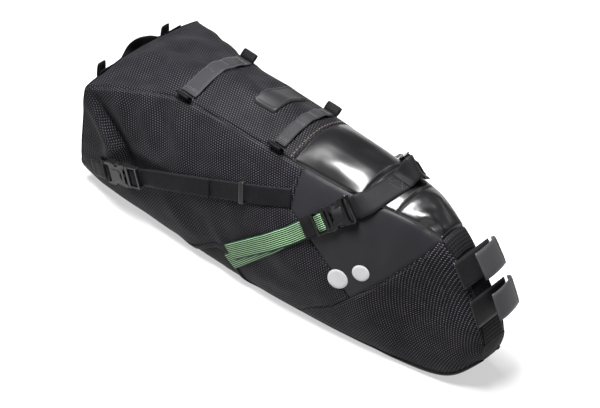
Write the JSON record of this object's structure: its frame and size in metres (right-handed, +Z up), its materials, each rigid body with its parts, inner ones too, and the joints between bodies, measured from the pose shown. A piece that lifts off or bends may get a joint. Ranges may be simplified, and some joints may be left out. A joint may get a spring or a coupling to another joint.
{
  "type": "bicycle saddle bag",
  "caption": "Roll-top bikepacking saddle bag, tapered to the seatpost, with side-release buckles, webbing straps, hook-and-loop post straps and a webbing arch for the saddle rails.",
  "frame": {"origin": "on the floor, under the middle of the stuffed bag", "axes": "+X along the bag to the nose (seatpost end), +Y to the bag's left, +Z up"},
  "size_m": [0.5222, 0.1984, 0.2013],
  "materials": {
    "dotted_cloth": "woven, printed with fine white dots",
    "gloss_cloth": "glossy film-coated cloth",
    "matt_cloth": "matt coated cloth",
    "coarse_cloth": "coarse plain weave",
    "green_webbing": "dark green webbing with pale stripes",
    "elastic": "smooth woven elastic",
    "buckle_plastic": "satin moulded plastic",
    "badge_rubber": "satin moulded rubber, left blank",
    "reflective": "plain grey reflective film",
    "stiffener_sheet": "plain sheet",
    "binding": "folded tape",
    "webbing": "ribbed webbing"
  },
  "bodies": {
    "bag": {"badge": "badge_rubber", "base_stiffener": "stiffener_sheet", "bottom_bindings": "binding", "bottom_panel": "coarse_cloth", "elastic_keeper_left": "elastic", "elastic_keeper_right": "elastic", "front_daisy_strip": "webbing", "front_gloss_panel": "gloss_cloth", "green_strap_left": "green_webbing", "green_strap_right": "green_webbing", "light_loops": "webbing", "light_webbing": "webbing", "loop_tabs": "webbing", "main_left_ladder": "buckle_plastic", "main_left_socket": "buckle_plastic", "main_right_ladder": "buckle_plastic", "main_right_socket": "buckle_plastic", "matt_side_panel_left": "matt_cloth", "matt_side_panel_right": "matt_cloth", "nose_front_strip": "coarse_cloth", "nose_side_panel_left": "dotted_cloth", "nose_side_panel_right": "dotted_cloth", "nose_stiffener": "stiffener_sheet", "nose_top_panel": "coarse_cloth", "post_strap_bases": "webbing", "rail_arch": "webbing", "rail_belt": "coarse_cloth", "rail_strap_left": "webbing", "rail_strap_right": "webbing", "rear_daisy_strip": "webbing", "rear_gloss_panel": "gloss_cloth", "rear_side_panel_left": "dotted_cloth", "rear_side_panel_right": "dotted_cloth", "reflective_patches": "reflective", "roll_stiffener": "stiffener_sheet", "rolled_closure": "coarse_cloth", "side_left_ladder": "buckle_plastic", "side_left_socket": "buckle_plastic", "side_right_ladder": "buckle_plastic", "side_right_socket": "buckle_plastic", "side_strap_left": "webbing", "side_strap_right": "webbing", "tail_loop_left": "webbing", "tail_loop_right": "webbing", "tail_panel": "coarse_cloth", "top_panel": "dotted_cloth"},
    "main_right_upper_arm": {"main_right_arm_upper": "buckle_plastic"},
    "main_right_lower_arm": {"main_right_arm_lower": "buckle_plastic"},
    "side_right_upper_arm": {"side_right_arm_upper": "buckle_plastic"},
    "side_right_lower_arm": {"side_right_arm_lower": "buckle_plastic"},
    "strap_keeper_right": {"strap_keeper_right": "buckle_plastic"},
    "green_tail_right": {"green_tail_right": "green_webbing"},
    "main_left_upper_arm": {"main_left_arm_upper": "buckle_plastic"},
    "main_left_lower_arm": {"main_left_arm_lower": "buckle_plastic"},
    "side_left_upper_arm": {"side_left_arm_upper": "buckle_plastic"},
    "side_left_lower_arm": {"side_left_arm_lower": "buckle_plastic"},
    "strap_keeper_left": {"strap_keeper_left": "buckle_plastic"},
    "green_tail_left": {"green_tail_left": "green_webbing"},
    "post_strap_flap_upper": {"post_strap_flap_upper": "webbing"},
    "post_strap_flap_lower": {"post_strap_flap_lower": "webbing"}
  },
  "joints": [
    {"name": "main_right_upper_arm_squeeze", "type": "hinge", "parent": "bag", "child": "main_right_upper_arm", "pos_m": [0.06717, -0.06014, 0.14869], "axis": [-0.1064, 0.9147, -0.39], "range_deg": [0, 11], "stiffness_Nm_per_rad": 0.6},
    {"name": "main_right_lower_arm_squeeze", "type": "hinge", "parent": "bag", "child": "main_right_lower_arm", "pos_m": [0.07799, -0.06265, 0.13984], "axis": [0.1064, -0.9147, 0.39], "range_deg": [0, 11], "stiffness_Nm_per_rad": 0.6},
    {"name": "side_right_upper_arm_squeeze", "type": "hinge", "parent": "bag", "child": "side_right_upper_arm", "pos_m": [-0.16982, -0.09459, 0.07061], "axis": [0.0226, -0.9992, -0.0339], "range_deg": [0, 11], "stiffness_Nm_per_rad": 0.6},
    {"name": "side_right_lower_arm_squeeze", "type": "hinge", "parent": "bag", "child": "side_right_lower_arm", "pos_m": [-0.16451, -0.09402, 0.05745], "axis": [-0.0226, 0.9992, 0.0339], "range_deg": [0, 11], "stiffness_Nm_per_rad": 0.6},
    {"name": "strap_keeper_right_slide", "type": "slide", "parent": "bag", "child": "strap_keeper_right", "axis": [0.9182, 0.1779, 0.3541], "range_m": [-0.012, 0.012]},
    {"name": "green_tail_right_lift", "type": "hinge", "parent": "bag", "child": "green_tail_right", "pos_m": [0.05205, -0.07054, 0.12176], "axis": [-0.7617, 0.1771, 0.6233], "range_deg": [0, 40]},
    {"name": "main_left_upper_arm_squeeze", "type": "hinge", "parent": "bag", "child": "main_left_upper_arm", "pos_m": [0.06717, 0.06014, 0.14869], "axis": [0.1064, 0.9147, 0.39], "range_deg": [0, 11], "stiffness_Nm_per_rad": 0.6},
    {"name": "main_left_lower_arm_squeeze", "type": "hinge", "parent": "bag", "child": "main_left_lower_arm", "pos_m": [0.07799, 0.06265, 0.13984], "axis": [-0.1064, -0.9147, -0.39], "range_deg": [0, 11], "stiffness_Nm_per_rad": 0.6},
    {"name": "side_left_upper_arm_squeeze", "type": "hinge", "parent": "bag", "child": "side_left_upper_arm", "pos_m": [-0.16982, 0.09459, 0.07061], "axis": [-0.0226, -0.9992, 0.0339], "range_deg": [0, 11], "stiffness_Nm_per_rad": 0.6},
    {"name": "side_left_lower_arm_squeeze", "type": "hinge", "parent": "bag", "child": "side_left_lower_arm", "pos_m": [-0.16451, 0.09402, 0.05745], "axis": [0.0226, 0.9992, -0.0339], "range_deg": [0, 11], "stiffness_Nm_per_rad": 0.6},
    {"name": "strap_keeper_left_slide", "type": "slide", "parent": "bag", "child": "strap_keeper_left", "axis": [0.9182, -0.1779, 0.3541], "range_m": [-0.012, 0.012]},
    {"name": "green_tail_left_lift", "type": "hinge", "parent": "bag", "child": "green_tail_left", "pos_m": [0.05205, 0.07054, 0.12176], "axis": [0.7617, 0.1771, -0.6233], "range_deg": [0, 40]},
    {"name": "post_strap_flap_upper_open", "type": "hinge", "parent": "bag", "child": "post_strap_flap_upper", "pos_m": [0.21866, 0.0308, 0.14518], "axis": [-0.6505, 0, 0.7595], "range_deg": [-9, 110]},
    {"name": "post_strap_flap_lower_open", "type": "hinge", "parent": "bag", "child": "post_strap_flap_lower", "pos_m": [0.24525, 0.0308, 0.10987], "axis": [-0.5346, 0, 0.8451], "range_deg": [-9, 110]}
  ],
  "couplings": [
    {"joint": "main_right_lower_arm_squeeze", "follows": "main_right_upper_arm_squeeze", "ratio": 1},
    {"joint": "side_right_lower_arm_squeeze", "follows": "side_right_upper_arm_squeeze", "ratio": 1},
    {"joint": "main_left_lower_arm_squeeze", "follows": "main_left_upper_arm_squeeze", "ratio": 1},
    {"joint": "side_left_lower_arm_squeeze", "follows": "side_left_upper_arm_squeeze", "ratio": 1}
  ]
}
